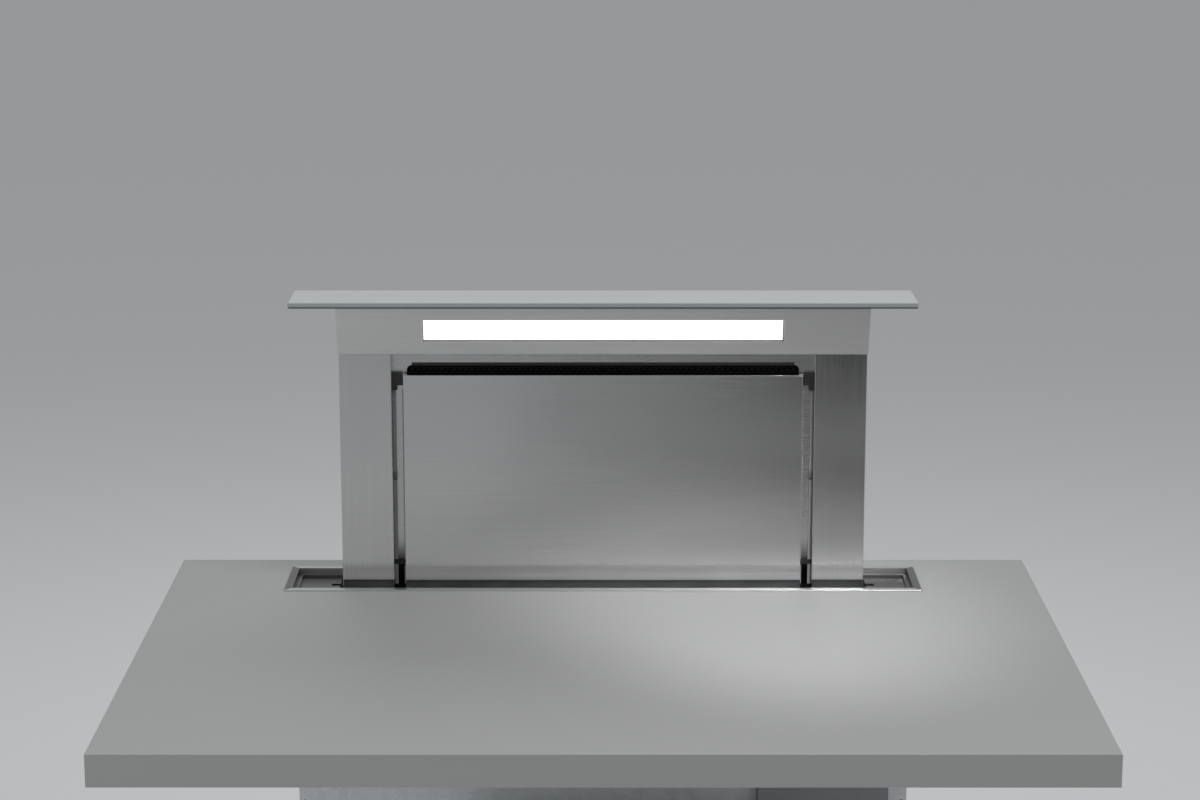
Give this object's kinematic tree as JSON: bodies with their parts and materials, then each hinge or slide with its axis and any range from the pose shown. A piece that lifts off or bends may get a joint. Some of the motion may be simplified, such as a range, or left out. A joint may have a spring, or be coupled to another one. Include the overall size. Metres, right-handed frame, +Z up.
{
  "type": "downdraft vent",
  "caption": "Rising kitchen downdraft vent with a glass cap, a lit tilted fascia, a perimeter suction panel, a geared lift and a blower on a sheet-metal housing.",
  "frame": {"origin": "middle of the trim frame's flange underside, on the worktop's surface", "axes": "+X along the worktop to the right, +Y to the back, +Z up; the vent faces -Y"},
  "size_m": [0.88, 0.325, 1.152],
  "materials": {
    "stainless": "fine horizontal brushing",
    "galvanised": "galvanised sheet, satin",
    "cap_glass": "back-painted, satin etched",
    "seal_rubber": "matt",
    "diffuser": "opal",
    "led_board": "white circuit board",
    "light_tray": "satin",
    "filter_mesh": "expanded mesh in a bright rim",
    "black_steel": "black powder coat",
    "guide_plastic": "machined slide plastic",
    "rack_plastic": "moulded",
    "pinion_brass": "machined",
    "bright_steel": "bright zinc",
    "motor_grey": "satin",
    "black_plastic": "moulded, fine texture",
    "box_plastic": "moulded, satin"
  },
  "bodies": {
    "chassis": {"trim_frame": "stainless", "housing_front": "galvanised", "housing_rear": "galvanised", "housing_side_left": "galvanised", "housing_side_right": "galvanised", "housing_base": "galvanised", "guide_rail_left": "galvanised", "guide_rail_right": "galvanised", "travel_bumpers": "seal_rubber", "clamp_brackets": "galvanised", "clamp_screws": "bright_steel", "foot_brackets": "galvanised", "levelling_feet": "bright_steel", "rack_left": "rack_plastic", "rack_right": "rack_plastic", "blower_box": "galvanised", "blower_back_plate": "galvanised", "blower_cover": "galvanised", "blower_cover_screws": "bright_steel", "scroll": "galvanised", "inlet_ring": "black_plastic", "motor_plate": "galvanised", "fan_motor": "motor_grey", "duct_collar": "black_plastic", "damper_pin": "bright_steel", "control_box": "box_plastic", "control_box_lid": "box_plastic", "control_lid_screws": "bright_steel", "cable_gland": "black_plastic"},
    "tower": {"glass_top": "cap_glass", "glass_seal": "seal_rubber", "glass_carrier": "stainless", "light_fascia": "stainless", "light_frame": "light_tray", "light_diffuser": "diffuser", "led_board": "led_board", "column_left": "stainless", "column_right": "stainless", "carriage_upright_left": "galvanised", "carriage_upright_right": "galvanised", "carriage_crossbar": "galvanised", "bottom_rail": "stainless", "tower_back": "galvanised", "guide_shoes": "guide_plastic", "shoe_arms": "galvanised", "filter_frame": "stainless", "grease_filter_left": "filter_mesh", "grease_filter_right": "filter_mesh", "panel_hooks": "black_steel", "shaft_bushes": "guide_plastic", "lift_gear_motor": "motor_grey"},
    "suction_panel": {"suction_panel": "stainless"},
    "drive_shaft": {"drive_shaft": "bright_steel", "drive_pinions": "pinion_brass"},
    "impeller": {"impeller_disc": "galvanised", "impeller_blades": "galvanised", "impeller_ring": "galvanised"},
    "damper_front": {"damper_flap_front": "black_plastic"},
    "damper_rear": {"damper_flap_rear": "black_plastic"}
  },
  "joints": [
    {"name": "tower_slide", "type": "slide", "parent": "chassis", "child": "tower", "axis": [0, 0, 1], "range_m": [-0.4, 0]},
    {"name": "drive_turn", "type": "hinge", "parent": "tower", "child": "drive_shaft", "pos_m": [0, 0.0153, -0.17], "axis": [1, 0, 0], "range_deg": [0, 1432.5]},
    {"name": "panel_lift", "type": "slide", "parent": "tower", "child": "suction_panel", "axis": [0, 0, 1], "range_m": [0, 0.007]},
    {"name": "impeller_spin", "type": "hinge", "parent": "chassis", "child": "impeller", "pos_m": [-0.015, -0.1, -0.545], "axis": [0, 1, 0], "continuous": true},
    {"name": "damper_front_swing", "type": "hinge", "parent": "chassis", "child": "damper_front", "pos_m": [0.195, -0.13, -0.44], "axis": [0, 0, 1], "range_deg": [0, 75], "stiffness_Nm_per_rad": 0.004},
    {"name": "damper_rear_swing", "type": "hinge", "parent": "chassis", "child": "damper_rear", "pos_m": [0.195, -0.13, -0.44], "axis": [0, 0, -1], "range_deg": [0, 75], "stiffness_Nm_per_rad": 0.004}
  ],
  "couplings": [
    {"joint": "drive_turn", "follows": "tower_slide", "rad_per_m": -62.5}
  ]
}
